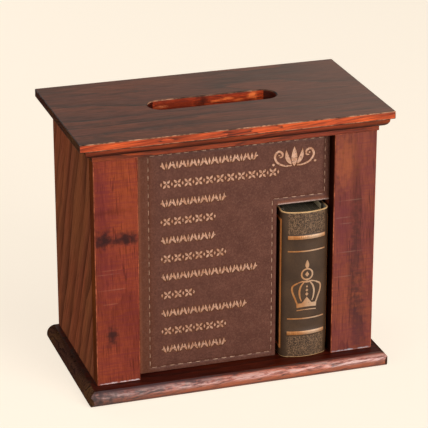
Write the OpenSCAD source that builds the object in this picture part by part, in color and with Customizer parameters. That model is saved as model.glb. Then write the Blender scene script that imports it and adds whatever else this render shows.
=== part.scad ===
// Wooden charity box with a moulded top, a coin slot, a stitched leather front
// and a small bound book that stands in a niche at the right of the front.
// Millimetres. The front faces -Y, the base rests on z = 0, and the origin is
// under the middle of the whole box.

/* [Case] */
// Width over the outer faces of the side walls
case_w = 154; // [140:0.5:200]
// Depth from the front of the stiles to the back panel's outer face
case_d = 82.5; // [80:0.5:120]
// Height of the walls between the base and the cornice
case_h = 125.6; // [115:0.1:180]
// Thickness of the side walls
side_t = 8; // [7:0.5:10]
// Thickness of the back panel
back_t = 5; // [3:0.5:7]
// Thickness of the board behind the leather
front_t = 5; // [3:0.5:7]
// Width of each front stile
stile_w = 23.5; // [18:0.5:28]
// Thickness of each front stile
stile_t = 8; // [6:0.5:9]

/* [Base] */
// Thickness of the base board
base_t = 7.6; // [6.5:0.1:12]
// Reach of the base in front of the stiles
base_front = 9.5; // [6:0.1:16]
// Reach of the base beyond each side wall
base_side = 6.9; // [6:0.1:12]
// Radius of the rounded upper edge of the base
nose_r = 4.8; // [2:0.1:5.4]
// Radius of the eased lower edge of the base
foot_r = 2; // [0.3:0.1:2.5]
// Plan radius of the base's front corners
corner_r = 3.2; // [0.5:0.1:6]

/* [Top] */
// Thickness of the top board
top_t = 4.3; // [3:0.1:8]
// Reach of the top board in front of the stiles
top_front = 5.4; // [5.4:0.1:12]
// Reach of the top board beyond each side wall
top_side = 8; // [5.4:0.1:14]
// Reach of the top board behind the back panel
top_back = 5.9; // [5.4:0.1:14]
// Thickness of the cornice board under the top board
cornice_t = 7; // [7:0.1:12]
// Height of the flat band at the foot of the cornice
band_h = 2.8; // [1.5:0.1:2.8]
// Reach of the flat band beyond the walls
band_out = 0.7; // [0.3:0.1:1.5]
// Radius of the quarter round of the cornice
ovolo_r = 4.1; // [2:0.1:4.1]
// Reach of the quarter round beyond the walls
ovolo_out = 5.1; // [4.8:0.1:5.2]
// Length of the coin slot
slot_l = 71; // [40:0.5:100]
// Width of the coin slot
slot_w = 15.4; // [6:0.1:20]
// Distance of the slot behind the middle of the top board
slot_back = 0.6; // [-8:0.1:8]

/* [Leather] */
// Thickness of the leather facing
leather_t = 2; // [1:0.1:3.5]
// Gap between the leather and the left stile
leather_left_gap = 1.7; // [0.2:0.1:5]
// Gap between the leather and the right stile
leather_right_gap = 0.2; // [0.1:0.1:3]
// Gap between the leather and the base or the cornice
leather_trim = 0.3; // [0.1:0.1:1]

/* [Book] */
// Height of the book
book_h = 84; // [60:0.5:100]
// Thickness of the book over both covers
book_w = 26.3; // [20:0.1:30]
// Depth of the book from spine to fore edge
book_d = 60; // [45:0.5:64]
// Thickness of the leather cover
cover_t = 1; // [0.6:0.1:1.5]
// Thickness of each cover board
board_t = 1.8; // [1:0.1:2.5]
// Radius of the crown of the spine
spine_r = 26; // [24:0.5:40]
// Radius of the spine's shoulders
shoulder_r = 5; // [3:0.1:7]
// Depth of the joint between the spine and the cover boards
joint_d = 9; // [8:0.1:12]
// Depth of the hollow behind the spine's outer face
spine_hollow = 6.5; // [5:0.1:7.5]
// How far the covers stand out past the pages
square_out = 3; // [1:0.1:4]
// Thickness of the lining on the back of the pages
lining_t = 0.6; // [0.3:0.1:1]
// Thickness of the headbands
headband_t = 1.2; // [0.8:0.1:1.6]
// Height of each headband along the pages
headband_h = 2.4; // [1.5:0.1:4]

/* [Niche] */
// Thickness of the niche's walls and ceiling
niche_t = 4; // [2:0.5:5]
// Gap between the book and the left wall of the niche
niche_left_gap = 2.2; // [0.5:0.1:4]
// Gap between the book and the right wall of the niche
niche_right_gap = 1.2; // [0.5:0.1:4]
// Gap between the top of the book and the ceiling
niche_top_gap = 3.1; // [0.5:0.1:6]
// Gap between the fore edge of the book and the back of the niche
niche_back_gap = 0.5; // [0.3:0.1:2]
// Gap under the book, for sliding
niche_floor_gap = 0.2; // [0.1:0.05:0.5]

/* [Stopper] */
// Diameter of the stopper's neck
stopper_d = 32; // [24:0.5:44]
// Reach of the stopper's flange beyond its neck
flange_out = 4; // [2:0.5:6]
// Thickness of the stopper's flange
flange_t = 2.2; // [1.5:0.1:3]
// Depth of the flange's underside above the table
flange_recess = 0.6; // [0.3:0.1:1]
// Height of the neck above the base's upper face
neck_out = 2; // [1:0.1:5]
// Height of the chamfer at the neck's inner end
neck_chamfer = 1.2; // [0.5:0.1:2]
// Depth of the finger recess in the stopper
grip_h = 5; // [3:0.1:5.5]
// Width of the finger bar across the recess
grip_w = 6; // [4:0.1:9]
// Wall around the finger recess
grip_wall = 4; // [2:0.1:6]
// Radial clearance between the stopper and the hole
stopper_fit = 0.05; // [0.02:0.01:0.1]
// Radial clearance around the flange
flange_gap = 1; // [0.5:0.1:2]
// Clearance between the flange and the shoulder it seats on
flange_seat = 0.1; // [0.05:0.05:0.2]

/* [Fasteners] */
// Screws along each side wall
screws_per_side = 3; // [2:1:4]
// Shank diameter of a base screw
screw_d = 3; // [2:0.1:4]
// Head diameter of a base screw
screw_head_d = 6; // [4.5:0.1:7]
// Height of a screw's countersunk head
screw_head_h = 1.8; // [1:0.1:2.5]
// Depth of a screw's head above the base's underside
screw_recess = 0.4; // [0.2:0.1:1]
// Length of a screw above the base's upper face
screw_grip = 15; // [8:0.5:25]
// Width of the cross slots in a screw head
screw_slot_w = 0.8; // [0.5:0.1:1.2]
// Depth of the cross slots in a screw head
screw_slot_h = 1; // [0.5:0.1:1.4]
// Dowels along the top of each side wall
dowels_per_side = 2; // [2:1:4]
// Diameter of a dowel
dowel_d = 5; // [3:0.1:6]
// Depth of a dowel in the side wall
dowel_low = 11; // [6:0.5:20]
// Depth of a dowel in the cornice board
dowel_high = 4.6; // [3:0.1:6]
// Distance of the end fasteners from the ends of a side wall
fastener_inset = 14; // [8:0.5:20]
// Radial and end clearance of screws and dowels in their holes
fastener_fit = 0.05; // [0.02:0.01:0.1]

/* [Hidden] */
$fn = 64;
// Overshoot of cuts past the face they open
over = 1;

// Box of the whole object in Y, with the origin at its middle
reach_front = max(base_front, top_front);
reach_back = max(0, top_back);
case_y0 = -(reach_front + case_d + reach_back) / 2 + reach_front;
case_y1 = case_y0 + case_d;
case_x = case_w / 2;
inner_x = case_x - side_t;
// Front faces of the side walls and the front board
wall_y = case_y0 + stile_t;
room_y0 = wall_y + front_t;
room_y1 = case_y1 - back_t;
wall_z1 = base_t + case_h;
// Inner edges of the two stiles
bay_x = case_x - stile_w;

// Outer edges of the base
base_x = case_x + base_side;
base_y0 = case_y0 - base_front;

// Top
cornice_z = wall_z1;
top_z = cornice_z + cornice_t;
top_x = case_x + top_side;
top_y0 = case_y0 - top_front;
top_y1 = case_y1 + top_back;
slot_y = (top_y0 + top_y1) / 2 + slot_back;

// Book and niche
book_x1 = bay_x - niche_right_gap;
book_x0 = book_x1 - book_w;
book_x = (book_x0 + book_x1) / 2;
book_y0 = case_y0;
book_y1 = book_y0 + book_d;
book_z0 = base_t + niche_floor_gap;
book_z1 = book_z0 + book_h;
niche_x0 = book_x0 - niche_left_gap;
niche_x1 = bay_x;
niche_y1 = book_y1 + niche_back_gap;
niche_z1 = book_z1 + niche_top_gap;
board_y0 = book_y0 + joint_d;
pages_x0 = book_x0 + cover_t + board_t;
pages_x1 = book_x1 - cover_t - board_t;
pages_y0 = book_y0 + spine_hollow;
pages_z0 = book_z0 + square_out;
pages_z1 = book_z1 - square_out;

// Stopper, under the middle of the open coin room
stopper_x = (niche_x0 - niche_t - inner_x) / 2;
stopper_y = (room_y0 + room_y1) / 2;
flange_z1 = flange_recess + flange_t;
grip_d = stopper_d - 2 * grip_wall;
flange_d = stopper_d + 2 * flange_out;

// Fasteners in the middle of the side walls' thickness
fastener_x = case_x - side_t / 2;
fastener_y0 = wall_y + fastener_inset;
fastener_y1 = case_y1 - fastener_inset;
screw_z1 = base_t + screw_grip;
dowel_z0 = wall_z1 - dowel_low;
dowel_z1 = wall_z1 + dowel_high;

wood_colour = "#7d3a26";
dark_wood_colour = "#5f4034";
inner_wood_colour = "#8a5a3c";
leather_colour = "#64443a";
book_colour = "#332b1c";

// Shared shapes

// Board between two opposite corners
module board(low, high) {
    translate(low)
        cube(high - low);
}

// Outline in X and Z carried along Y
module along_y(y0, y1) {
    translate([0, y1, 0])
        rotate([90, 0, 0])
            linear_extrude(y1 - y0)
                children();
}

// Outline in Y and Z carried along X
module along_x(x0, x1) {
    translate([x0, 0, 0])
        rotate([90, 0, 90])
            linear_extrude(x1 - x0)
                children();
}

// Waste outside a rounded corner that points to the lower left
module corner_waste(r) {
    difference() {
        translate([-over, -over])
            square(r + over);
        translate([r, r])
            circle(r);
    }
}

// Waste at a corner, turned to point left or right and down or up
module corner_cut(x, y, right, up, r) {
    translate([x, y])
        mirror([right ? 1 : 0, 0])
            mirror([0, up ? 1 : 0])
                corner_waste(r);
}

// Section of the base: rounded above, eased below, square at a plain end
module base_section(low, high, nosed_high) {
    difference() {
        translate([low, 0])
            square([high - low, base_t]);
        corner_cut(low, base_t, false, true, nose_r);
        corner_cut(low, 0, false, false, foot_r);
        if (nosed_high) {
            corner_cut(high, base_t, true, true, nose_r);
            corner_cut(high, 0, true, false, foot_r);
        }
    }
}

// Section of the cornice over walls that span from low to high
module cornice_section(low, high) {
    translate([low - band_out, 0])
        square([high - low + 2 * band_out, cornice_t]);
    difference() {
        translate([low - ovolo_out, band_h])
            square([high - low + 2 * ovolo_out, cornice_t - band_h]);
        corner_cut(low - ovolo_out, band_h, false, false, ovolo_r);
        corner_cut(high + ovolo_out, band_h, true, false, ovolo_r);
    }
}

// Round-ended coin slot through everything from z0 to z1
module slot_cut(z0, z1) {
    run = (slot_l - slot_w) / 2;
    translate([0, slot_y, z0 - over])
        linear_extrude(z1 - z0 + 2 * over) {
            square([2 * run, slot_w], center = true);
            for (end = [-run, run])
                translate([end, 0])
                    circle(d = slot_w);
        }
}

// Places of the fasteners along one side wall
module along_wall(count, x) {
    step = (fastener_y1 - fastener_y0) / (count - 1);
    for (i = [0 : count - 1])
        translate([x, fastener_y0 + i * step, 0])
            children();
}

// Countersunk screw, or the hole for it when grown by its clearance
module screw_body(grow, low) {
    r = screw_d / 2 + grow;
    head_r = screw_head_d / 2 + grow;
    head_z1 = screw_recess + screw_head_h;
    translate([0, 0, screw_recess])
        cylinder(h = screw_head_h, r1 = head_r, r2 = r);
    translate([0, 0, head_z1])
        cylinder(h = screw_z1 + grow - head_z1, r = r);
    if (low < screw_recess)
        translate([0, 0, low])
            cylinder(h = screw_recess - low, r = head_r);
}

module screw() {
    difference() {
        screw_body(0, screw_recess);
        for (turn = [0, 90])
            rotate(turn)
                translate([-screw_head_d / 2, -screw_slot_w / 2, screw_recess - over])
                    cube([screw_head_d, screw_slot_w, screw_slot_h + over]);
    }
}

module dowel_body(grow) {
    translate([0, 0, dowel_z0 - grow])
        cylinder(h = dowel_z1 - dowel_z0 + 2 * grow, d = dowel_d + 2 * grow);
}

// Side wall with its screw and dowel holes, on the left or the right
module side_wall(right) {
    x0 = right ? inner_x : -case_x;
    hole_x = right ? fastener_x : -fastener_x;
    difference() {
        board([x0, wall_y, base_t], [x0 + side_t, case_y1, wall_z1]);
        along_wall(screws_per_side, hole_x)
            screw_body(fastener_fit, 0);
        along_wall(dowels_per_side, hole_x)
            dowel_body(fastener_fit);
    }
}

module stile(x0) {
    board([x0, case_y0, base_t], [x0 + stile_w, wall_y, wall_z1]);
}

// Plan outline of the book, drawn in by an inset on its spine and covers
module book_outline(inset, y1) {
    shoulder = shoulder_r - inset;
    y0 = book_y0 + inset;
    intersection() {
        difference() {
            translate([book_x0 + inset, y0])
                square([book_w - 2 * inset, y1 - y0]);
            corner_cut(book_x0 + inset, y0, false, false, shoulder);
            corner_cut(book_x1 - inset, y0, true, false, shoulder);
        }
        union() {
            translate([book_x, book_y0 + spine_r])
                circle(spine_r - inset);
            translate([book_x0, book_y0 + joint_d])
                square([book_w, y1 - book_y0 - joint_d]);
        }
    }
}

// Wooden case

// Plan of the base, with its front corners rounded
module base_plan() {
    difference() {
        translate([-base_x, base_y0])
            square([2 * base_x, case_y1 - base_y0]);
        corner_cut(-base_x, base_y0, false, false, corner_r);
        corner_cut(base_x, base_y0, true, false, corner_r);
    }
}

// Slab with its edge worked along the front and the two sides, which meet in a mitre
module base_slab() {
    intersection() {
        along_x(-base_x, base_x)
            base_section(base_y0, case_y1, false);
        along_y(base_y0, case_y1)
            base_section(-base_x, base_x, true);
        linear_extrude(base_t)
            base_plan();
    }
}

module base_board() {
    color(wood_colour)
        difference() {
            base_slab();
            for (x = [-fastener_x, fastener_x])
                along_wall(screws_per_side, x)
                    screw_body(fastener_fit, -over);
            translate([stopper_x, stopper_y, 0])
                stopper_hole();
        }
}

// Stepped hole that takes the stopper's flange and neck
module stopper_hole() {
    seat_z = flange_z1 + flange_seat;
    translate([0, 0, -over])
        cylinder(h = seat_z + over, d = flange_d + 2 * flange_gap);
    cylinder(h = base_t + over, d = stopper_d + 2 * stopper_fit);
}

module left_side() {
    color(wood_colour)
        side_wall(false);
}

module right_side() {
    color(wood_colour)
        side_wall(true);
}

module back_panel() {
    color(wood_colour)
        board([-inner_x, room_y1, base_t], [inner_x, case_y1, wall_z1]);
}

// Board that carries the leather, cut away at the niche
module front_board() {
    color(inner_wood_colour)
        difference() {
            board([-inner_x, wall_y, base_t], [inner_x, room_y0, wall_z1]);
            board([niche_x0, wall_y - over, base_t - over], [niche_x1, room_y0 + over, niche_z1]);
        }
}

module left_stile() {
    color(wood_colour)
        stile(-case_x);
}

module right_stile() {
    color(wood_colour)
        stile(bay_x);
}

// Board with a band and a quarter round worked along all four edges
module cornice_board() {
    color(wood_colour)
        difference() {
            translate([0, 0, cornice_z])
                intersection() {
                    along_y(case_y0 - ovolo_out, case_y1 + ovolo_out)
                        cornice_section(-case_x, case_x);
                    along_x(-case_x - ovolo_out, case_x + ovolo_out)
                        cornice_section(case_y0, case_y1);
                }
            slot_cut(cornice_z, top_z);
            for (x = [-fastener_x, fastener_x])
                along_wall(dowels_per_side, x)
                    dowel_body(fastener_fit);
        }
}

module top_board() {
    color(dark_wood_colour)
        difference() {
            board([-top_x, top_y0, top_z], [top_x, top_y1, top_z + top_t]);
            slot_cut(top_z, top_z + top_t);
        }
}

// Leather facing between the stiles, cut away at the niche
module front_leather() {
    low = [-bay_x + leather_left_gap, wall_y - leather_t, base_t + leather_trim];
    high = [bay_x - leather_right_gap, wall_y, wall_z1 - leather_trim];
    color(leather_colour)
        difference() {
            board(low, high);
            board([niche_x0, low.y - over, low.z - over], [high.x + over, high.y + over, niche_z1]);
        }
}

// Niche behind the front board

module niche_left_wall() {
    color(inner_wood_colour)
        board([niche_x0 - niche_t, room_y0, base_t], [niche_x0, room_y1, niche_z1]);
}

module niche_right_wall() {
    color(inner_wood_colour)
        board([niche_x1, room_y0, base_t], [niche_x1 + niche_t, room_y1, niche_z1]);
}

module niche_back_wall() {
    color(inner_wood_colour)
        board([niche_x0, niche_y1, base_t], [niche_x1, niche_y1 + niche_t, niche_z1]);
}

module niche_ceiling() {
    color(inner_wood_colour)
        board([niche_x0 - niche_t, room_y0, niche_z1], [inner_x, room_y1, niche_z1 + niche_t]);
}

// Book

// Leather that runs round the spine and over both covers
module book_cover() {
    color(book_colour)
        translate([0, 0, book_z0])
            linear_extrude(book_h)
                difference() {
                    book_outline(0, book_y1);
                    book_outline(cover_t, book_y1 + over);
                }
}

module book_left_board() {
    color("tan")
        board([book_x0 + cover_t, board_y0, book_z0], [pages_x0, book_y1, book_z1]);
}

module book_right_board() {
    color("tan")
        board([pages_x1, board_y0, book_z0], [book_x1 - cover_t, book_y1, book_z1]);
}

module book_pages() {
    color("antiquewhite")
        board([pages_x0, pages_y0, pages_z0], [pages_x1, book_y1 - square_out, pages_z1]);
}

module book_spine_lining() {
    color("gray")
        board(
            [pages_x0, pages_y0 - lining_t, pages_z0 + headband_h],
            [pages_x1, pages_y0, pages_z1 - headband_h]
        );
}

// Round-edged bands at the head and tail of the back of the pages
module book_headbands() {
    r = headband_t / 2;
    color("firebrick")
        for (z = [pages_z0, pages_z1 - headband_h])
            along_x(pages_x0, pages_x1)
                difference() {
                    translate([pages_y0 - headband_t, z])
                        square([headband_t, headband_h]);
                    corner_cut(pages_y0 - headband_t, z, false, false, r);
                    corner_cut(pages_y0 - headband_t, z + headband_h, false, true, r);
                }
}

// Stopper and hidden fasteners

// Rubber plug with a seat flange and a bar to grip inside a finger recess
module stopper() {
    neck_z1 = base_t + neck_out;
    color("#2b2b2b")
        translate([stopper_x, stopper_y, 0])
            difference() {
                union() {
                    translate([0, 0, flange_recess])
                        cylinder(h = flange_t, d = flange_d);
                    translate([0, 0, flange_recess])
                        cylinder(h = neck_z1 - neck_chamfer - flange_recess, d = stopper_d);
                    translate([0, 0, neck_z1 - neck_chamfer])
                        cylinder(
                            h = neck_chamfer,
                            d1 = stopper_d,
                            d2 = stopper_d - 2 * neck_chamfer
                        );
                }
                difference() {
                    translate([0, 0, flange_recess - over])
                        cylinder(h = grip_h + over, d = grip_d);
                    translate([-grip_d, -grip_w / 2, flange_recess - 2 * over])
                        cube([2 * grip_d, grip_w, grip_h + 3 * over]);
                }
            }
}

module base_screws() {
    color("goldenrod")
        for (x = [-fastener_x, fastener_x])
            along_wall(screws_per_side, x)
                screw();
}

module top_dowels() {
    color("burlywood")
        for (x = [-fastener_x, fastener_x])
            along_wall(dowels_per_side, x)
                dowel_body(0);
}

base_board();
left_side();
right_side();
back_panel();
front_board();
left_stile();
right_stile();
cornice_board();
top_board();
front_leather();
niche_left_wall();
niche_right_wall();
niche_back_wall();
niche_ceiling();
book_cover();
book_left_board();
book_right_board();
book_pages();
book_spine_lining();
book_headbands();
stopper();
base_screws();
top_dowels();
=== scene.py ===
"""A lacquered wooden charity box with a stitched leather front and a small bound book in its niche.

The frame is in metres. Sizes here are in millimetres, and MM turns them into metres where a mesh is made.
"""

import math

import bmesh
import bpy
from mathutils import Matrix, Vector, noise

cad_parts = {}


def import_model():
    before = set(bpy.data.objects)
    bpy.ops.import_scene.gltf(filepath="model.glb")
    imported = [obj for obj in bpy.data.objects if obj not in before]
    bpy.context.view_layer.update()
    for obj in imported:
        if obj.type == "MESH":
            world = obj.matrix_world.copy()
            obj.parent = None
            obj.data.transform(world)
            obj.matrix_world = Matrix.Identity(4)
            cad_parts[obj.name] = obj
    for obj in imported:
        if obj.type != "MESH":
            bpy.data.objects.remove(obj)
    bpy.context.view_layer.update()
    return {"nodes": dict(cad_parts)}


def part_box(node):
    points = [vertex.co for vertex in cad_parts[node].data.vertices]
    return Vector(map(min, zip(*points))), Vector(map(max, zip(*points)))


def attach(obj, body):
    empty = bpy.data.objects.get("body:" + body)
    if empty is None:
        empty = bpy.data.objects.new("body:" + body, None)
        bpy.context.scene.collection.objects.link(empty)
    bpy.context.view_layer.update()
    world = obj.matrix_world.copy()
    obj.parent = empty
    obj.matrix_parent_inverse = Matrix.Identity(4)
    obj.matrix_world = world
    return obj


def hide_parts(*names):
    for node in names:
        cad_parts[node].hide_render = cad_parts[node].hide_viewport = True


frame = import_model()

MM = 0.001
PER_MM = 1000.0


def tone(red, green, blue):
    """A colour given as a screen shows it, from 0 to 255, as the linear colour that shaders take."""
    def linear(part):
        part /= 255.0
        return part / 12.92 if part <= 0.04045 else ((part + 0.055) / 1.055) ** 2.4
    return (linear(red), linear(green), linear(blue), 1.0)


# Camera of the photograph
CAMERA_PLACE = (-337.9, -1036.8, 516.8)
CAMERA_AIM = (85.6, 262.8, -30.3)
CAMERA_LENS = 183.7
CAMERA_SENSOR = 36.0

# Floor and backdrop, in metres and in shares of full light
BACKDROP = tone(255, 243, 226)
FLOOR_COLOUR = tone(176, 166, 150)
FLOOR_REACH = 6.0
FLOOR_LEVEL = -0.0002
FLOOR_GLOW = 0.8
FLOOR_MIRRORED = 0.3
WORLD_STRENGTH = 0.12
WORLD_MIRRORED = 0.45
WORLD_SEEN = 0.86

# Soft lights: name, azimuth and elevation in degrees, width and height in metres, power in watts
LIGHT_AIM = Vector((0, 0, 0.07))
LIGHT_DISTANCE = 1.5
SOFTBOXES = (
    ("key", 28, 14, (0.9, 0.9), 15.0),
    ("front_top", 18, 55, (0.6, 1.5), 5.0),
    ("left_fill", -60, 8, (1.2, 1.2), 10.0),
    ("back_fill", -150, 8, (1.2, 0.9), 9.0),
)

# Boards: edges that bend by more than ARRIS_ANGLE are eased, by ARRIS or as far as ARRISES says. SLOT_REACH
# bounds the coin slot's walls, from the middle of the box. Faces in front lie before FRONT_LIMIT, level ones
# look up or down by LEVEL, and END_TURN is how far the base's edge turns sideways where its ends begin.
ARRIS = 0.45
ARRISES = {
    "base_board": 0.4, "top_board": 0.5, "cornice_board": 0.25, "left_side": 0.2, "niche_left_wall": 0.3,
    "niche_right_wall": 0.3, "niche_back_wall": 0.3, "niche_ceiling": 0.3, "top_dowels": 0.3,
    "base_screws": 0.12, "stopper": 0.35, "book_left_board": 0.25, "book_right_board": 0.25,
    "book_spine_lining": 0.1,
}
ARRIS_ANGLE = math.radians(35)
ARRIS_SEGMENTS = 3
LEFT_ARRIS_SHARE = 0.3
FLAT_ANGLE = math.radians(0.5)
JOIN_REACH = 0.002
WELD_REACH = 0.001
SAME_PLACE = 0.01
SLOT_REACH = Vector((40, 15))
FRONT_LIMIT = -20
LEVEL = 0.98
END_TURN = 0.3

# Leather facing
FACING_EDGE = 0.5
FACING_WAVE = 0.06
FACING_WAVE_SCALE = 0.05
FACING_GRID = 1.6
LEAST_STEP = 0.1
RAW_LEFT = 1.7
RAW_LEFT_SHARE = 0.5
RAW_OVER_NOTCH = 2.2
NOTCH_SQUARE = 4.0
STITCH_PITCH = 4.7
STITCH_SHARE = 0.66
STITCH_INSET_LEFT = 5.4
STITCH_INSET_TOP = 2.7
STITCH_INSET = 2.9
STITCH_SINK = 0.22
STITCH_ARCH = 0.42
STITCH_POINTS = 9
NOTCH_STITCH_SIDE = 2.5
NOTCH_STITCH_TOP = 3.8
GROOVE_DEPTH = 0.28
GROOVE_HALF = 0.75
GROOVE_FALL = 2.2
PLY_R = 0.15
PLY_LAY = 0.75
PLY_FLAT = 0.6
PLY_TWIST = 3.4
PLY_SIDES = 6

# Gilt ornament on the facing
ROW_LEFT = -39.5
ROW_TOP = 124.2
ROW_PITCH = 10.35
ROW_UNITS = (9, 11, 6, 5, 5, 6, 9, 3, 8, 6, 6)
UNIT_W = 5.8
UNIT_H = 4.2
LEAF_W = 1.15
HEADPIECE_X = 33.2
HEADPIECE_Z = 121.2
LEAF_TIP = 0.06
LOZENGE_TIP = 0.05
DISC_TIP = 0.08
FOIL_LIFT = 0.07
FOIL_SINK = 0.06
PRESSED_LIFT = 0.03
PRESSED_RIM = 0.32
# How far the burnished rim is set down, so that it also paints a shadow under the gold.
SHADOW_DROP = 0.1

# Book
SPINE_R = 26.0
SHOULDER_R = 5.0
COVER_T = 1.0
SPINE_STEP = 0.5
JOINT_STEP = 0.6
COVER_STEP = 3.0
TOOLED_HALF = 10.6
TOOLED_END = 0.8
PANEL_HALF = 10.9
BANDS_Z = (77.4, 22.1)
BAND_HALF = 1.05
BAND_FOOT = 0.35
BAND_RISE = 0.32
BAND_RIDGE = (-1.5, -1.1, -0.55, 0.0, 0.55, 1.1, 1.5)
BAND_CLEAR = 2.0
FILLETS_Z = (69.5, 30.5)
FILLET_HALF = 0.35
FILLET_STEP = 0.8
RIB_PITCH = 1.1
RIB_RISE = 0.05
PEBBLE_GAP = 1.4
PEBBLE_RIM = 0.6
PEBBLE_RISE = 0.11
PEBBLE_SCALE = 0.95
JOINT_AWAY = 4.6
JOINT_HALF = 1.6
JOINT_DEPTH = 0.42
JOINT_STRIP = 9.0
FRAME_W = 1.5
FRAME_INSET = 4.5
FRAME_NEAR = 1.6
FRAME_STEP = (2.0, 4.0)
MITRE_GAP = 0.03
FOIL_BEND = math.radians(40)
LEAF_COUNT = 46
LEAF_SHARE = 0.94
LEAF_UNEVEN = 0.12
HEADBAND_WRAPS = 36
HEADBAND_INSET = 0.2
HEADBAND_SIDES = 10

# Colours of the wood and the gold
WOOD_EARLY = tone(152, 66, 40)
WOOD_LATE = tone(86, 33, 22)
WOOD_PORE = tone(40, 17, 13)
WOOD_PURPLE = tone(106, 40, 40)
WOOD_ORANGE = tone(178, 82, 40)
# Pale wood where the stain is worn thin, also used for painted highlights.
WOOD_WEAR_AND_GLINT = tone(206, 146, 112)
# A painted sheen, laid in streaks on the base's rounded edge.
WOOD_PAINTED_SHEEN = tone(226, 176, 160)
# Painted shade, for level faces and undersides.
WOOD_PAINTED_SHADE = tone(30, 8, 7)
WOOD_KNOT = tone(54, 30, 26)
# A painted highlight, where the stiles' worn feet catch the light.
WOOD_FOOT_HIGHLIGHT = tone(240, 214, 200)
# A painted reflection, which pales the top towards its right end.
WOOD_PAINTED_REFLECTION = tone(150, 120, 108)
# Painted light, on the faces of the base's edge that look forward.
WOOD_LIT_FACE = tone(176, 96, 58)
# Bright orange spots on the slot's far wall: mottled wood, with painted glints.
WOOD_MOTTLE_AND_GLINT = tone(206, 124, 74)
FACING_GOLD = (tone(198, 142, 110), tone(236, 192, 167))
SPINE_GOLD = (tone(180, 112, 56), tone(202, 142, 88))
COVER_GOLD = (tone(222, 126, 58), tone(244, 168, 96))

# Marks in the wood. On the stiles: x, z, width, depth, height, strength, colour
STILE_FRONT = -39.5
LEFT_STILE_MARKS = (
    (-72.5, 112, 5, 9, 20, 0.45, WOOD_PURPLE),
    (-71.5, 70, 5.5, 9, 18, 0.4, WOOD_PURPLE),
    (-58, 100, 7, 9, 24, 0.2, WOOD_ORANGE),
    (-68, 104.5, 12, 6, 1.8, 0.5, WOOD_LATE),
    (-72, 90.2, 5, 6, 4.8, 0.9, WOOD_KNOT),
    (-60.5, 89.4, 6, 6, 4.4, 0.9, WOOD_KNOT),
    (-66, 88.6, 14, 6, 3, 0.8, WOOD_KNOT),
    (-68.5, 35.5, 3.2, 6, 6, 0.9, WOOD_KNOT),
)
RIGHT_STILE_MARKS = (
    (60, 118, 8, 9, 18, 0.4, WOOD_ORANGE),
    (66, 100, 3, 9, 34, 0.5, WOOD_LATE),
    (66.5, 62, 4, 9, 34, 0.55, WOOD_KNOT),
    (69, 24, 5, 9, 26, 0.6, WOOD_KNOT),
    (57.5, 78, 5, 9, 24, 0.45, WOOD_PURPLE),
    (62, 14, 16, 9, 16, 0.35, WOOD_PURPLE),
)
# Scratches: x, z, half length. Foot highlights: the x of each painted highlight along a stile's worn foot,
# and how strong they are
LEFT_SCRATCHES = ((-69.5, 72.5, 5), (-70.5, 70.4, 6.5), (-67, 61.5, 8), (-69, 53.5, 4))
RIGHT_SCRATCHES = ((63, 95.5, 7), (58.5, 86, 5), (60, 82.5, 3.5), (59, 52, 6), (64, 66, 8))
LEFT_FOOT_HIGHLIGHTS, LEFT_FOOT_HIGHLIGHT_SHARE = (-70, -62, -56), 0.85
RIGHT_FOOT_HIGHLIGHTS, RIGHT_FOOT_HIGHLIGHT_SHARE = (57, 64, 72), 0.45
# On the slot's far wall, x, z, width, height, strength, colour: darker patches, orange spots of mottled wood
# with painted glints, and a pale painted highlight near its upper edge
SLOT_BACK = 10.4
SLOT_MARKS = (
    (-18, 140, 17, 20, 0.85, WOOD_LATE),
    (-26, 140.6, 3, 0.8, 0.35, WOOD_WEAR_AND_GLINT),
    (-3, 140, 4, 20, 0.8, WOOD_PORE),
    (4, 140.6, 3, 0.7, 0.5, WOOD_MOTTLE_AND_GLINT),
    (11, 141.4, 4.5, 0.8, 0.55, WOOD_MOTTLE_AND_GLINT),
    (17, 140, 2.5, 0.9, 0.45, WOOD_MOTTLE_AND_GLINT),
    (25, 142, 2.6, 2.6, 0.85, WOOD_MOTTLE_AND_GLINT),
    (16, 143.6, 14, 1, 0.8, WOOD_LATE),
    (17, 138.5, 7, 1.4, 0.7, WOOD_LATE),
)
# Dark streaks on the top: x, y, half length
TOP_LEVEL = 144.5
TOP_STREAKS = (
    (-64, 31.5, 13), (-46, 27.5, 15), (-33, 28.5, 10), (-72, -16, 13), (-50, -16.8, 16),
    (-25, -20.5, 18), (-66, -32, 14), (-44, -31.6, 15), (-22, -33.6, 14), (36, -22.5, 13),
    (51, -28, 14), (68, -36, 13), (20, 34, 20), (54, 20, 18), (64, 2, 15),
)
TOP_CORNER = ((-78, -41, TOP_LEVEL), (26, 9, 9), 0.5, WOOD_PORE)
# On the base, painted shade over its left part, which also dulls the polish there: place, size, strength,
# colour
BASE_LEFT_SHADE = (
    ((-85, -50, 3), (20, 12, 12), 0.98, tone(52, 32, 28)),
    ((-50, -46, 7), (40, 5, 2.4), 0.6, tone(84, 62, 70)),
    ((-62, -49, 4), (30, 9, 9), 0.4, tone(74, 54, 52)),
)
BASE_FLAT_LEFT_SHADE = (((-86, 0, 8), (9, 70, 9), 0.95, tone(46, 36, 26)),)


def box_mm(node):
    """Lowest and highest corner of a CAD node, in millimetres."""
    low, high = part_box(node)
    return low * PER_MM, high * PER_MM


TOP_LOW = box_mm("top_board")[0]


def linked(name, data):
    """A new object in the scene."""
    made = bpy.data.objects.new(name, data)
    bpy.context.scene.collection.objects.link(made)
    return made


# Meshes


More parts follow.
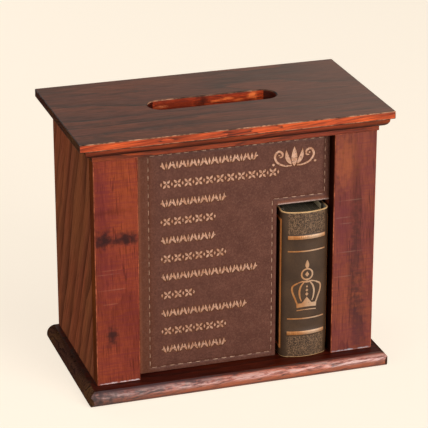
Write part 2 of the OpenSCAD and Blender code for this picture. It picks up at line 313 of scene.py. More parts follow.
class Shape:
    """Points and faces of one piece, in millimetres."""

    def __init__(self):
        self.points = []
        self.faces = []
        self.slots = []

    def point(self, place):
        self.points.append(tuple(place))
        return len(self.points) - 1

    def face(self, corners, slot=0):
        self.faces.append(tuple(corners))
        self.slots.append(slot)

    def piece(self, name, body, materials, smooth=True):
        """The shape as an object that rides on a body."""
        mesh = bpy.data.meshes.new(name)
        mesh.from_pydata([[v * MM for v in p] for p in self.points], [], self.faces)
        shape = bmesh.new()
        shape.from_mesh(mesh)
        bmesh.ops.recalc_face_normals(shape, faces=shape.faces)
        shape.to_mesh(mesh)
        shape.free()
        for material in materials:
            mesh.materials.append(material)
        for polygon, slot in zip(mesh.polygons, self.slots):
            polygon.material_index = slot
            polygon.use_smooth = smooth
        piece = linked(name, mesh)
        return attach(piece, body)


def in_slot(place):
    """True for a place that lies at the coin slot, seen from above."""
    return abs(place.x) < SLOT_REACH.x and abs(place.y) < SLOT_REACH.y


def ease_share(node, edge):
    """How far an edge is eased, as a share of its board's arris.

    Boards that meet inside the coin slot aren't eased there, and the top hardly is at its left end.
    """
    middle = (edge.verts[0].co + edge.verts[1].co) / 2 * PER_MM
    if in_slot(middle) and abs(middle.z - TOP_LOW.z) < SAME_PLACE:
        return 0.0
    if node == "top_board" and middle.x < TOP_LOW.x + SAME_PLACE:
        return LEFT_ARRIS_SHARE
    return 1.0


def dressed(node, body, material, cuts=(), edge_look=None):
    """A copy of a CAD node with its arrises eased, shown in the node's place.

    Cuts are pairs of a test and a material: the faces that pass the test, such as a slot's walls, get the
    material. The last argument is the material of the eased arrises, where it isn't the board's own: wear and
    painted highlight on some boards, painted shade on others.
    """
    shape = bmesh.new()
    shape.from_mesh(frame["nodes"][node].data)
    bmesh.ops.remove_doubles(shape, verts=shape.verts, dist=JOIN_REACH * MM)
    bmesh.ops.dissolve_limit(shape, angle_limit=FLAT_ANGLE, verts=shape.verts, edges=shape.edges)
    for face in shape.faces:
        face.smooth = True
        for index, (test, _) in enumerate(cuts, 1):
            if test(face):
                face.material_index = index
    weight = shape.edges.layers.float.new("bevel_weight_edge")
    for edge in shape.edges:
        if edge.calc_face_angle(0.0) > ARRIS_ANGLE:
            edge.smooth = False
            edge[weight] = ease_share(node, edge)
    mesh = bpy.data.meshes.new(node + "_finished")
    for used in [material, *(cut for _, cut in cuts), *([edge_look] if edge_look else [])]:
        mesh.materials.append(used)
    shape.to_mesh(mesh)
    shape.free()
    piece = linked(node + "_finished", mesh)
    ease = piece.modifiers.new("eased arris", "BEVEL")
    ease.width = ARRISES.get(node, ARRIS) * MM
    ease.segments = ARRIS_SEGMENTS
    ease.limit_method = "WEIGHT"
    ease.use_clamp_overlap = True
    if edge_look:
        ease.material = len(mesh.materials) - 1
    weld = piece.modifiers.new("no doubled points", "WELD")
    weld.merge_threshold = WELD_REACH * MM
    normals = piece.modifiers.new("flat faces", "WEIGHTED_NORMAL")
    normals.weight = 100
    normals.keep_sharp = True
    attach(piece, body)
    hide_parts(node)
    return piece


def add_foil(shape, rows, place, lift=FOIL_LIFT):
    """Adds a closed sheet of foil: rows of points (u, v), as many in each, that place sets on a surface."""
    last_row, last = len(rows) - 1, len(rows[0]) - 1
    top = [[shape.point(place(u, v, lift)) for u, v in row] for row in rows]
    low = [[shape.point(place(u, v, -FOIL_SINK)) for u, v in row] for row in rows]
    for i in range(last_row):
        for j in range(last):
            shape.face((top[i][j], top[i + 1][j], top[i + 1][j + 1], top[i][j + 1]))
            shape.face((low[i][j], low[i][j + 1], low[i + 1][j + 1], low[i + 1][j]))
        for j in (0, last):
            shape.face((top[i][j], top[i + 1][j], low[i + 1][j], low[i][j]))
    for i in (0, last_row):
        for j in range(last):
            shape.face((top[i][j], top[i][j + 1], low[i][j + 1], low[i][j]))


def add_skin(shape, rings, slots=None):
    """Adds a closed skin over rings of points, as many in each, with a cap at either end.

    Slots are the material slots of the faces that lie between each point of a ring and the next.
    """
    count = len(rings[0])
    for one, two in zip(rings, rings[1:]):
        for k in range(count):
            after = (k + 1) % count
            shape.face((one[k], one[after], two[after], two[k]), slots[k] if slots else 0)
    shape.face(rings[0])
    shape.face(rings[-1])


def add_tube(shape, centres, radii, sides, across, out):
    """Adds a closed tube round the centres. Across and out are the axes of its cross-section."""
    turn = [2 * math.pi * k / sides for k in range(sides)]
    add_skin(shape, [[shape.point(centre + radius * (math.cos(a) * across + math.sin(a) * out)) for a in turn]
                     for centre, radius in zip(centres, radii)])


def add_block(shape, low, high):
    """Adds a closed box between two corners."""
    corners = ((low[1], low[2]), (high[1], low[2]), (high[1], high[2]), (low[1], high[2]))
    add_skin(shape, [[shape.point((x, y, z)) for y, z in corners] for x in (low[0], high[0])])


def lines(low, high, step, extra=()):
    """Places from low to high, about step apart, with the extra ones, and none closer than LEAST_STEP."""
    count = max(1, round((high - low) / step))
    even = [low + (high - low) * k / count for k in range(count + 1)]
    fixed = {low, high, *extra}
    kept = []
    for place in sorted(even + [e for e in extra if low < e < high]):
        if kept and place - kept[-1] < LEAST_STEP:
            if place in fixed and kept[-1] not in fixed:
                kept[-1] = place
            continue
        kept.append(place)
    return kept


# Ornament, as rows of points for add_foil


def leaf(base, tip, width, bend=0.0, count=7):
    """An almond-shaped leaf from base to tip, bent sideways by bend."""
    run = Vector(tip) - Vector(base)
    side = Vector((-run.y, run.x)).normalized()
    rows = []
    for k in range(count):
        t = k / (count - 1)
        middle = Vector(base) + run * t + side * bend * math.sin(math.pi * t)
        half = LEAF_TIP + width / 2 * math.sin(math.pi * t ** 0.8) ** 0.9
        rows.append([tuple(middle - side * half), tuple(middle + side * half)])
    return rows


def level_rows(x, sizes):
    """Level rows round x, from pairs of a height and half a width."""
    return [[(x - half, z), (x + half, z)] for z, half in sizes]


def lozenge(x, z, width, height):
    """A diamond that stands on its point."""
    shares = (-1, -0.5, 0, 0.5, 1)
    return level_rows(x, [(z + t * height / 2, LOZENGE_TIP + width / 2 * (1 - abs(t))) for t in shares])


def disc(x, z, radius, count=7):
    """A round dot."""
    turns = [math.pi * k / (count - 1) for k in range(count)]
    return level_rows(x, [(z - radius * math.cos(a), max(DISC_TIP, radius * math.sin(a))) for a in turns])


def stroke(points, width, ends=0.5):
    """A smooth line through the points, whose ends have the given share of its width."""
    knots = [Vector(p) for p in points]
    knots = [2 * knots[0] - knots[1], *knots, 2 * knots[-1] - knots[-2]]
    smooth = []
    for a, b, c, d in zip(knots, knots[1:], knots[2:], knots[3:]):
        for t in (0.0, 0.25, 0.5, 0.75):
            smooth.append(0.5 * (2 * b + (c - a) * t + (2 * a - 5 * b + 4 * c - d) * t * t
                                 + (3 * b - a - 3 * c + d) * t ** 3))
    smooth.append(knots[-2])
    last = len(smooth) - 1
    rows = []
    for k, middle in enumerate(smooth):
        run = smooth[min(k + 1, last)] - smooth[max(k - 1, 0)]
        side = Vector((-run.y, run.x)).normalized()
        half = width / 2 * (ends + (1 - ends) * math.sin(math.pi * k / last))
        rows.append([tuple(middle - side * half), tuple(middle + side * half)])
    return rows


def ring(x, z, radius, width, start, turn):
    """A line along an arc, from start degrees through turn degrees."""
    count = round(turn / 20)
    angles = [math.radians(start + turn * k / count) for k in range(count + 1)]
    return [[(x + r * math.cos(a), z + r * math.sin(a)) for r in (radius - width / 2, radius + width / 2)]
            for a in angles]


def mirrored(rows, x):
    """The rows turned over left for right about x."""
    return [[(2 * x - u, v) for u, v in row] for row in rows]


def widened(rows, rim):
    """The rows with each side moved out by rim, and the ends as well."""
    ends = [(Vector(row[0]) + Vector(row[-1])) / 2 for row in (rows[0], rows[1], rows[-2], rows[-1])]
    before, after = (ends[0] - ends[1]).normalized() * rim, (ends[3] - ends[2]).normalized() * rim
    wide = []
    for k, row in enumerate(rows):
        out = (Vector(row[-1]) - Vector(row[0])).normalized() * rim
        along = before if k == 0 else after if k == len(rows) - 1 else Vector((0, 0))
        wide.append([tuple(Vector(row[0]) - out + along), tuple(Vector(row[-1]) + out + along)])
    return wide


# Materials


class Nodes:
    """A node tree, with short calls that add nodes and join them."""

    def __init__(self, tree):
        self.tree = tree

    def feed(self, socket, value):
        if isinstance(value, bpy.types.NodeSocket):
            self.tree.links.new(value, socket)
        else:
            socket.default_value = value

    def node(self, kind, settings=None, **inputs):
        """A new node. Its inputs are named with underscores for spaces."""
        made = self.tree.nodes.new("ShaderNode" + kind)
        for name, value in (settings or {}).items():
            setattr(made, name, value)
        for name, value in inputs.items():
            self.feed(made.inputs[name.replace("_", " ")], value)
        return made

    def math(self, operation, a, b=0.0):
        made = self.node("Math", {"operation": operation})
        self.feed(made.inputs[0], a)
        self.feed(made.inputs[1], b)
        return made.outputs[0]

    def times(self, first, *factors):
        for factor in factors:
            first = self.math("MULTIPLY", first, factor)
        return first


class Shader(Nodes):
    """The node material of one surface."""

    def __init__(self, name):
        self.material = bpy.data.materials.new(name)
        self.material.use_nodes = True
        super().__init__(self.material.node_tree)
        self.bsdf = self.tree.nodes["Principled BSDF"]
        self.object_point = self.node("TexCoord").outputs["Object"]

    def set(self, **values):
        """Sets sockets of the shader, with underscores for the spaces in their names."""
        for name, value in values.items():
            self.feed(self.bsdf.inputs[name.replace("_", " ")], value)

    def finish(self, colour, grain, rough, depth, strength, **rest):
        """The material with its roughness and a bump, depth millimetres high, from one grain."""
        self.set(Base_Color=colour, Roughness=self.spread(grain, 0.3, 0.7, *rough), **rest)
        self.set(Normal=self.bump(grain, depth, strength))
        return self.material

    def mapped(self, scale, shift=(0, 0, 0), point=None):
        """Coordinates in millimetres times scale, which is one number or one for each axis."""
        scale = (scale,) * 3 if isinstance(scale, (int, float)) else scale
        made = self.node("Mapping", Location=shift, Scale=[PER_MM * s for s in scale])
        self.feed(made.inputs["Vector"], point or self.object_point)
        return made.outputs["Vector"]

    def noise(self, scale, shift=(0, 0, 0), detail=3.0, roughness=0.55, distortion=0.0, point=None):
        made = self.node("TexNoise", Vector=self.mapped(scale, shift, point), Scale=1.0, Detail=detail,
                         Roughness=roughness, Distortion=distortion)
        return made.outputs["Fac"]

    def cells(self, scale, feature="SMOOTH_F1"):
        made = self.node("TexVoronoi", {"feature": feature}, Vector=self.mapped(scale), Scale=1.0)
        return made.outputs["Distance"]

    def stripes(self, direction, scale, distortion=0.0):
        made = self.node("TexWave", {"bands_direction": direction}, Vector=self.mapped(1.0), Scale=scale,
                         Distortion=distortion)
        return made.outputs["Fac"]

    def length(self, vector):
        return self.node("VectorMath", {"operation": "LENGTH"}, Vector=vector).outputs["Value"]

    def spread(self, value, low, high, to_low=0.0, to_high=1.0):
        """Value from low to high, as a share from to_low to to_high."""
        made = self.node("MapRange", {"interpolation_type": "SMOOTHSTEP"}, Value=value, From_Min=low,
                         From_Max=high, To_Min=to_low, To_Max=to_high)
        return made.outputs["Result"]

    def mix(self, share, a, b, blend="MIX"):
        made = self.node("Mix", {"data_type": "RGBA", "blend_type": blend})
        for index, value in ((0, share), (6, a), (7, b)):
            self.feed(made.inputs[index], value)
        return made.outputs[2]

    def over(self, colour, other, value, low, high, most=1.0):
        """The colour with a share of another over it, which grows to most as value goes from low to high."""
        return self.mix(self.spread(value, low, high, 0.0, most), colour, other)

    def ramp(self, value, *stops):
        """A colour that runs through the stops, which are pairs of a place and a colour."""
        made = self.node("ValToRGB", Fac=value)
        points = made.color_ramp.elements
        while len(points) < len(stops):
            points.new(0.5)
        for point, (place, colour) in zip(points, stops):
            point.position = place
            point.color = colour
        return made.outputs["Color"]

    def axis(self, index):
        """One object coordinate, in millimetres."""
        return self.node("SeparateXYZ", Vector=self.mapped(1.0)).outputs[index]

    def facing(self, index):
        """How far the surface looks along an axis, from -1 to 1."""
        normal = self.node("NewGeometry").outputs["Normal"]
        return self.node("SeparateXYZ", Vector=normal).outputs[index]

    def attribute(self, name):
        return self.node("Attribute", {"attribute_name": name}).outputs["Fac"]

    def bump(self, height, depth, strength):
        """A bump depth millimetres high."""
        return self.node("Bump", Height=height, Strength=strength, Distance=depth * MM).outputs["Normal"]


class Wood(Shader):
    """Wood whose growth rings lie round a pith that runs along the grain, leaning by slant degrees."""

    def __init__(self, name, grain, pith, slant):
        super().__init__(name)
        self.along = "xyz".index(grain)
        self.pith = pith
        self.seed = sum(pith)
        self.leaning = self.node("Mapping", Rotation=[math.radians(a) for a in slant],
                                 Vector=self.object_point).outputs["Vector"]

    def stretched(self, across, length):
        return [length if k == self.along else across for k in range(3)]

    def streaks(self, across, length, seeds, detail=3.0, roughness=0.55, distortion=0.0):
        """Noise drawn out along the grain."""
        shift = [self.seed * part for part in seeds]
        return self.noise(self.stretched(across, length), shift, detail, roughness, distortion, self.leaning)

    def growth(self, ring, sway):
        """How far a point has come through its growth ring, from 0 to 1."""
        across = self.node("Mapping", Location=[-p for p in self.pith], Vector=self.leaning,
                           Scale=self.stretched(PER_MM, 0.0)).outputs["Vector"]
        wander = self.spread(self.streaks(0.018, 0.006, (1, 0, 0), 2), 0.2, 0.8, -sway, sway)
        wobble = self.spread(self.streaks(0.16, 0.02, (0, 1, 0)), 0.2, 0.8, -1.2, 1.2)
        reach = self.math("ADD", self.length(across), self.math("ADD", wander, wobble))
        return self.math("FRACT", self.math("DIVIDE", reach, ring))

    def mark(self, place, size, strength):
        """How much of a ragged mark there is at a point: strength in its middle, nothing outside it."""
        shift = [-p / part for p, part in zip(place, size)]
        away = self.length(self.mapped([1.0 / part for part in size], shift))
        ragged = self.math("ADD", away, self.spread(self.noise(0.35, detail=4), 0.3, 0.7, -0.35, 0.35))
        return self.spread(ragged, 0.0, 1.4, strength, 0.0)


def worked_edge(s, colour, level, streaks, painted_light):
    """The colour and roughness of a rounded edge, with dull streaks in its polish, painted light on the faces
    that look forward, darker towards its bottom, and a painted sheen in streaks on its rounding.
    """
    dull = s.streaks(0.8, 0.07, (1, 0, 1), 5, 0.7, 0.3)
    rounded = s.times(s.spread(level, 0.1, 0.45), s.spread(level, 0.96, 0.7))
    # Painted light: the faces that look forward are paler.
    colour = s.over(colour, WOOD_LIT_FACE, level, 0.35, 0.1, painted_light)
    colour = s.over(colour, WOOD_LATE, s.axis(2), 2.6, 0.6, 0.75)
    # Painted sheen, in streaks over the rounding.
    colour = s.mix(s.times(rounded, s.spread(dull, 0.4, 0.6, 0.0, painted_light)), colour, WOOD_PAINTED_SHEEN)
    colour = s.over(colour, WOOD_PORE, dull, 0.5, 0.34, streaks)
    return colour, s.spread(dull, 0.38, 0.6, 0.7, 0.28)


def stained_wood(name, grain, pith, slant=(0.0, 0.0, 0.0), ring=6.0, sway=10.0, contrast=0.7, lines=0.6,
                 purple=0.4, orange=1.0, glow=WOOD_ORANGE, fibres=1.0, figure=0.0, tint=(1.0, 1.0, 1.0),
                 gloss=0.3, coat=0.0, coat_roughness=0.12, relief=0.05, ior=1.5, dashes=0.0, streaks=0.0,
                 painted_light=0.0, level_shade=0.0, under=0.0, right_sheen=0.0, marks=(), shade_marks=()):
    """Open-grained wood, stained red-brown, under lacquer.

    Glow is the colour of the warm streaks, and figure how strong the ripples across the grain are.
    Dashes is how dark the longest pores are. Streaks, and the painted light and sheen, are for a worked edge.
    Two shares give the painted shade on a level face and on an underside.
    One more pales the right end with a painted reflection. Marks are knots, streaks and scratches in the
    wood, and
    painted highlights at a stile's foot. The last list is painted shade that lies over the polish and dulls
    it:
    (place, size, strength, colour), with x, y, z in the first two.
    """
    s = Wood(name, grain, pith, slant)
    phase = s.growth(ring, sway)
    patch = s.spread(s.streaks(0.05, 0.012, (1, 1, 0), 2), 0.35, 0.65, 0.35, 1.0)
    late = s.times(s.spread(phase, 0.25, 0.9), s.spread(phase, 1.0, 0.93), patch, contrast)
    colour = s.over(WOOD_EARLY, glow, s.streaks(0.04, 0.015, (0, 0, 1)), 0.4, 0.7, orange)
    colour = s.over(colour, WOOD_PURPLE, s.streaks(0.06, 0.02, (0, 1, 1)), 0.4, 0.66, purple)
    colour = s.mix(late, colour, WOOD_LATE)
    fibre = s.streaks(1.7, 0.06, (1, 1, 0), 5, 0.7)
    shade = s.ramp(fibre, (0.34, tone(166, 154, 148)), (0.66, tone(255, 255, 255)))
    colour = s.mix(fibres, colour, shade, "MULTIPLY")
    vessel = s.streaks(1.5, 0.05, (0, 1, 0), 2)
    lined = s.spread(vessel, 0.36, 0.56, 0.0, lines)
    seam = s.times(s.spread(phase, 0.8, 0.95), s.spread(phase, 1.0, 0.97), lined)
    pore = s.math("MAXIMUM", s.spread(vessel, 0.56, 0.7, 0.0, 0.55), seam)
    colour = s.mix(pore, colour, WOOD_PORE)
    if dashes:
        colour = s.over(colour, WOOD_PORE, s.streaks(0.5, 0.07, (1, 1, 1), 3, 0.6, 0.4), 0.52, 0.68, dashes)
    if figure:
        ripple = s.noise(s.stretched(0.06, 0.9), (s.seed, 0, 0), 5, 0.75, 0.8)
        colour = s.over(colour, WOOD_PURPLE, ripple, 0.42, 0.62, figure)
    for place, size, strength, mark_colour in marks:
        colour = s.mix(s.mark(place, size, strength), colour, mark_colour)
    colour = s.mix(1.0, colour, (*tint, 1.0), "MULTIPLY")
    roughness = s.spread(fibre, 0.3, 0.7, 0.46, 0.32)
    level = s.facing(2)
    if streaks:
        colour, roughness = worked_edge(s, colour, level, streaks, painted_light)
    # Painted reflection: the board paler towards its right end.
    if right_sheen:
        colour = s.over(colour, WOOD_PAINTED_REFLECTION, s.axis(0), -60.0, 110.0, right_sheen)
    # Painted shade: level faces darker.
    if level_shade:
        colour = s.over(colour, WOOD_PAINTED_SHADE, level, 0.75, 0.98, level_shade)
    # Painted shade: undersides darker.
    if under:
        colour = s.over(colour, WOOD_PAINTED_SHADE, level, -0.15, -0.8, under)
    # Painted shade laid over the polish, which is made rough there too.
    for place, size, strength, mark_colour in shade_marks:
        share = s.mark(place, size, strength)
        colour = s.mix(share, colour, mark_colour)
        roughness = s.math("MAXIMUM", roughness, share)
    s.set(Base_Color=colour, Roughness=roughness, Specular_IOR_Level=gloss, IOR=ior)
    s.set(Coat_Weight=coat, Coat_Roughness=coat_roughness)
    s.set(Normal=s.bump(s.math("SUBTRACT", fibre, s.times(pore, 1.5)), relief, 0.5))
    return s.material


def rubbed_and_lit_arris(name, dark, pale, amount):
    """An edge where hands have rubbed the stain thin, in patches, on the sides that look forward, toward the
    lamps, so that the pale patches are also a painted highlight.
    """
    s = Shader(name)
    grain = s.noise(0.5, detail=4)
    patches = s.spread(s.noise(0.07), 0.38, 0.6, 0.15, amount)
    # Only the sides that look forward, toward the lamps, turn pale: painted highlight as well as wear.
    forward = s.spread(s.facing(1), -0.15, -0.45)
    edge_look = s.times(patches, forward, s.spread(grain, 0.35, 0.6, 0.3, 1.0))
    return s.finish(s.mix(edge_look, dark, pale), grain, (0.5, 0.36), 0.05, 0.5, Specular_IOR_Level=0.1)


def facing_leather():
    """Smooth brown leather, paler where its cut edge is skived."""
    s = Shader("facing_leather")
    edge_look = s.attribute("edge")
    cells = s.cells(1.3)
    fine = s.noise(2.4)
    colour = s.ramp(s.noise(0.12, detail=4), (0.35, tone(95, 55, 43)), (0.68, tone(112, 68, 54)))
    colour = s.over(colour, tone(116, 64, 40), s.axis(0), -40.0, -49.0, 0.7)
    colour = s.over(colour, tone(78, 43, 32), fine, 0.35, 0.7, 0.45)
    colour = s.over(colour, tone(72, 40, 29), cells, 0.4, 0.05, 0.6)
    colour = s.over(colour, tone(142, 98, 82), s.noise(1.0), 0.46, 0.68, 0.24)
    frayed = s.times(edge_look, s.spread(s.noise(1.6, detail=4), 0.3, 0.62, 0.4, 1.0))
    colour = s.mix(frayed, colour, s.over(tone(172, 102, 70), tone(216, 184, 170), edge_look, 0.45, 0.7))
    s.set(Base_Color=colour, Roughness=s.spread(cells, 0.0, 0.5, 0.62, 0.5), Specular_IOR_Level=0.22)
    s.set(Normal=s.bump(s.math("ADD", cells, s.times(fine, 0.5)), 0.09, 0.6))
    return s.material


def burnished_and_shadow_leather():
    """Leather that a hot tool has burnished, dark and golden brown; round the gold it also stands for painted
    shadow.
    """
    s = Shader("burnished_and_shadow_leather")
    grain = s.noise(1.4, detail=4)
    colour = s.ramp(grain, (0.35, tone(74, 38, 18)), (0.65, tone(116, 66, 34)))
    return s.finish(colour, grain, (0.5, 0.38), 0.06, 0.6, Specular_IOR_Level=0.2)


def book_leather():
    """Dark olive leather, with gilt rubbed into the pebbled ends of the spine."""
    s = Shader("book_leather")
    pebbled = s.attribute("pebble")
    fine = s.noise(3.2)
    colour = s.ramp(s.noise(0.1, detail=4), (0.35, tone(69, 47, 31)), (0.68, tone(87, 62, 42)))
    colour = s.over(colour, tone(42, 33, 22), fine, 0.4, 0.7, 0.5)
    pebble = s.cells(2.2, "F1")
    grain = s.math("SUBTRACT", s.times(s.noise(0.9, detail=4), 0.8), s.times(pebble, 0.6))
    colour = s.mix(s.times(s.spread(pebble, 0.45, 0.7, 0.0, 0.5), pebbled), colour, tone(34, 26, 20))
    colour = s.mix(s.times(s.spread(grain, 0.0, 0.26, 0.0, 0.45), pebbled), colour, tone(182, 142, 106))
    s.set(Base_Color=colour, Roughness=s.spread(fine, 0.3, 0.7, 0.36, 0.52), Specular_IOR_Level=0.4)
    s.set(Normal=s.bump(s.math("ADD", s.times(fine, 0.4), s.times(grain, pebbled)), 0.14, 0.6))
    return s.material


def raw_edge_lit():
    """The pale cut edge of leather, fibrous and matt, made paler still as painted light on the cover's rim.
    """
    s = Shader("raw_leather_edge")
    fibre = s.noise((1.2, 1.2, 5.0), detail=4)
    colour = s.ramp(fibre, (0.3, tone(176, 130, 82)), (0.55, tone(232, 186, 126)),
                    (0.75, tone(252, 224, 178)))
    return s.finish(colour, fibre, (0.6, 0.8), 0.1, 0.7)


def gold_foil(name, ground, worn_from, gold, metallic=0.6, polish=(0.42, 0.3), highlight_band=()):
    """Gold leaf of two tones pressed into leather, rubbed through to the ground here and there.

    Polish is how rough the foil is where it is most and least rubbed.
    The last argument is a painted highlight: where, from left to right in millimetres, the gold turns paler,
    is palest and turns back.
    """
    s = Shader(name)
    rub = s.noise(1.1, detail=5, roughness=0.65)
    whole = s.spread(rub, worn_from, worn_from + 0.12)
    glow = s.ramp(s.noise(0.5), (0.3, gold[0]), (0.7, gold[1]))
    # Painted highlight: paler gold across part of the width.
    if highlight_band:
        rise, peak, fall = highlight_band
        x = s.axis(0)
        share = s.times(s.spread(x, rise, peak, 0.0, 0.8), s.spread(x, peak, fall, 1.0, 0.2))
        glow = s.mix(share, glow, tone(214, 182, 152))
    return s.finish(s.mix(whole, ground, glow), rub, polish, 0.05, 0.6, Metallic=s.times(whole, metallic))


def thread():
    """Waxed linen thread."""
    s = Shader("linen_thread")
    fuzz = s.noise(6.0)
    colour = s.ramp(s.noise(0.2, detail=2), (0.35, tone(168, 128, 102)), (0.65, tone(206, 166, 138)))
    colour = s.over(colour, tone(140, 106, 82), fuzz, 0.35, 0.7, 0.4)
    return s.finish(colour, fuzz, (0.55, 0.75), 0.06, 0.6)


def paper():
    """The edges of many leaves, a little aged, with painted shade on the upper ones."""
    s = Shader("paper_leaves")
    sheets = s.noise((9.0, 0.02, 0.02), detail=2)
    colour = s.ramp(sheets, (0.3, tone(186, 166, 128)), (0.6, tone(228, 212, 178)))
    colour = s.over(colour, tone(188, 156, 106), s.noise(0.08, detail=4), 0.45, 0.75, 0.45)
    # Painted shade: the upper faces much darker.
    colour = s.over(colour, tone(72, 66, 56), s.facing(2), 0.5, 0.9, 0.85)
    return s.finish(colour, sheets, (0.85, 0.7), 0.12, 0.8)


def board_cover():
    """A cover board: leather turned in over its edges, and paper pasted to its faces."""
    s = Shader("covered_board")
    speck = s.noise(2.0, detail=4)
    leather = s.ramp(speck, (0.35, tone(48, 38, 26)), (0.65, tone(74, 60, 42)))
    pasted = s.ramp(s.noise(0.6, detail=4), (0.35, tone(196, 176, 138)), (0.65, tone(222, 204, 168)))
    colour = s.over(leather, pasted, s.math("ABSOLUTE", s.facing(0)), 0.5, 0.8)
    return s.finish(colour, speck, (0.5, 0.7), 0.08, 0.6)


def lining_cloth():
    """Open-weave grey cloth, stiff with glue."""
    s = Shader("lining_cloth")
    weave = s.math("MAXIMUM", s.stripes("X", 0.55, 0.4), s.stripes("Z", 0.55, 0.4))
    glue = s.noise(0.25, detail=4)
    colour = s.ramp(weave, (0.2, tone(104, 100, 92)), (0.8, tone(172, 168, 156)))
    colour = s.over(colour, tone(126, 112, 84), glue, 0.45, 0.7, 0.6)
    s.set(Base_Color=colour, Roughness=s.spread(glue, 0.3, 0.7, 0.9, 0.6), Normal=s.bump(weave, 0.12, 0.8))
    return s.material


def headband_silk():
    """Red and cream silk, worked over a core in stripes."""
    s = Shader("headband_silk")
    strand = s.noise((6.0, 1.0, 1.0), detail=2)
    colour = s.ramp(s.stripes("X", 0.2), (0.45, tone(124, 30, 28)), (0.55, tone(222, 202, 160)))
    colour = s.over(colour, tone(84, 40, 30), strand, 0.35, 0.7, 0.4)
    return s.finish(colour, strand, (0.5, 0.35), 0.06, 0.7)


def rubber():
    """Matt black rubber, with dust in its grain."""
    s = Shader("black_rubber")
    colour = s.over(tone(30, 29, 28), tone(74, 70, 66), s.noise(0.15, detail=5), 0.5, 0.75, 0.5)
    return s.finish(colour, s.noise(4.0), (0.62, 0.8), 0.04, 0.5)


def brass():
    """Polished brass with fine scratches and a little tarnish."""
    s = Shader("screw_brass")
    colour = s.over(tone(214, 176, 98), tone(122, 90, 46), s.noise(0.6, detail=4), 0.45, 0.75, 0.7)
    return s.finish(colour, s.noise((8.0, 0.6, 0.6)), (0.24, 0.42), 0.02, 0.4, Metallic=1.0)


# Boards of the case


def is_slot_wall(face):
    """True for the upright faces in the middle of a board, which are the coin slot's."""
    return abs(face.normal.z) < 0.5 and in_slot(face.calc_center_median() * PER_MM)


def is_slot_back(face):
    """True for the slot's long far wall, which faces forward."""
    return is_slot_wall(face) and face.normal.y < -0.9


def is_front(face):
    """True for a face in front."""
    return face.normal.y < -0.5 and face.calc_center_median().y * PER_MM < FRONT_LIMIT


def is_level(face):
    """True for a level face that looks up."""
    return face.normal.z > LEVEL


def is_underside(face):
    """True for a level face that looks down."""
    return face.normal.z < -LEVEL


def is_left(face):
    """True for a face at the left."""
    return face.normal.x < -0.5


def is_end(face):
    """True for the worked edge at an end of the base."""
    across = abs(face.normal.x)
    return across > 0.02 and across > END_TURN * abs(face.normal.y)


def stile_marks(rows, scratches, foot_highlights, foot_highlight_share):
    """Knots and figure of a stile, scratches in its polish, and painted highlights where its worn foot
    catches the light.
    """
    scratched = [(x, z, half, 9.0, 0.3, 0.13, WOOD_WEAR_AND_GLINT) for x, z, half in scratches]
    # Painted highlights along the foot.
    foot_glints = [(x, 7.9, 5.0, 9.0, 0.8, foot_highlight_share, WOOD_FOOT_HIGHLIGHT) for x in foot_highlights]
    return [((x, STILE_FRONT, z), (wide, deep, tall), strength, colour)
            for x, z, wide, deep, tall, strength, colour in [*rows, *scratched, *foot_glints]]


def board_woods():
    """The wood of each board, which was cut from a piece of its own."""
    top_marks = [((x, y, TOP_LEVEL), (half, 1.7, 9.0), 0.6, WOOD_PORE) for x, y, half in TOP_STREAKS]
    return {
        # The top pales towards its right end with a painted reflection.
        "top_board": stained_wood(
            "wood_top", "x", (0, 40, 90), (0, 2, 2), ring=12.0, contrast=0.85, lines=1.0, orange=0.2,
            tint=(0.92, 1.22, 1.3), gloss=0.42, dashes=0.5, right_sheen=0.45, marks=[*top_marks, TOP_CORNER]),
        # The cornice's underside gets painted shade.
        "cornice_board": stained_wood(
            "wood_cornice", "x", (0, 30, 40), (0, 1, 2), ring=4.0, orange=0.8, gloss=0.25,
            tint=(1.3, 1.2, 1.05), under=0.9),
        # The base: painted shade on its level faces and over its left part, painted light and sheen on its
        # front edge.
        "base_board": stained_wood(
            "wood_base", "x", (0, 20, -50), (0, 6, 4), ring=5.0, contrast=0.9, lines=0.9,
            tint=(1.8, 1.7, 1.6), gloss=0.6, ior=1.6, coat=0.15, coat_roughness=0.35, relief=0.12,
            streaks=0.85, painted_light=0.56, level_shade=0.85, shade_marks=BASE_LEFT_SHADE),
        "left_side": stained_wood(
            "wood_left_side", "z", (-70, 160, 0), (-25, 0, 0), ring=12.0, sway=7.0, lines=0.4, purple=0.15,
            orange=0.5, glow=tone(168, 62, 40), fibres=0.7, tint=(1.03, 1.95, 2.15), gloss=0.0),
        "right_side": stained_wood("wood_right_side", "z", (20, -12, 0), (5, 0, 0), contrast=0.8, gloss=0.15),
        "back_panel": stained_wood(
            "wood_back", "x", (0, 90, 60), (0, 4, 3), ring=7.0, contrast=0.8, gloss=0.2),
        "left_stile": stained_wood(
            "wood_left_stile", "z", (-90, 10, 0), (3, 2, 0), ring=9.0, contrast=0.3, lines=0.1, purple=0.2,
            orange=0.5, fibres=0.6, figure=0.5, tint=(1.22, 1.36, 1.6), gloss=0.04,
            marks=stile_marks(LEFT_STILE_MARKS, LEFT_SCRATCHES, LEFT_FOOT_HIGHLIGHTS, LEFT_FOOT_HIGHLIGHT_SHARE)),
        "right_stile": stained_wood(
            "wood_right_stile", "z", (60, -5, 0), (2, 1, 0), ring=5.0, contrast=0.4, lines=0.3, purple=0.5,
            orange=0.0, fibres=0.6, figure=0.5, tint=(1.18, 1.7, 2.12), gloss=0.15,
            marks=stile_marks(RIGHT_STILE_MARKS, RIGHT_SCRATCHES, RIGHT_FOOT_HIGHLIGHTS, RIGHT_FOOT_HIGHLIGHT_SHARE)),
        "front_board": stained_wood(
            "wood_front_board", "z", (-40, 20, 0), (3, 2, 0), ring=5.0, contrast=0.5, gloss=0.2),
    }


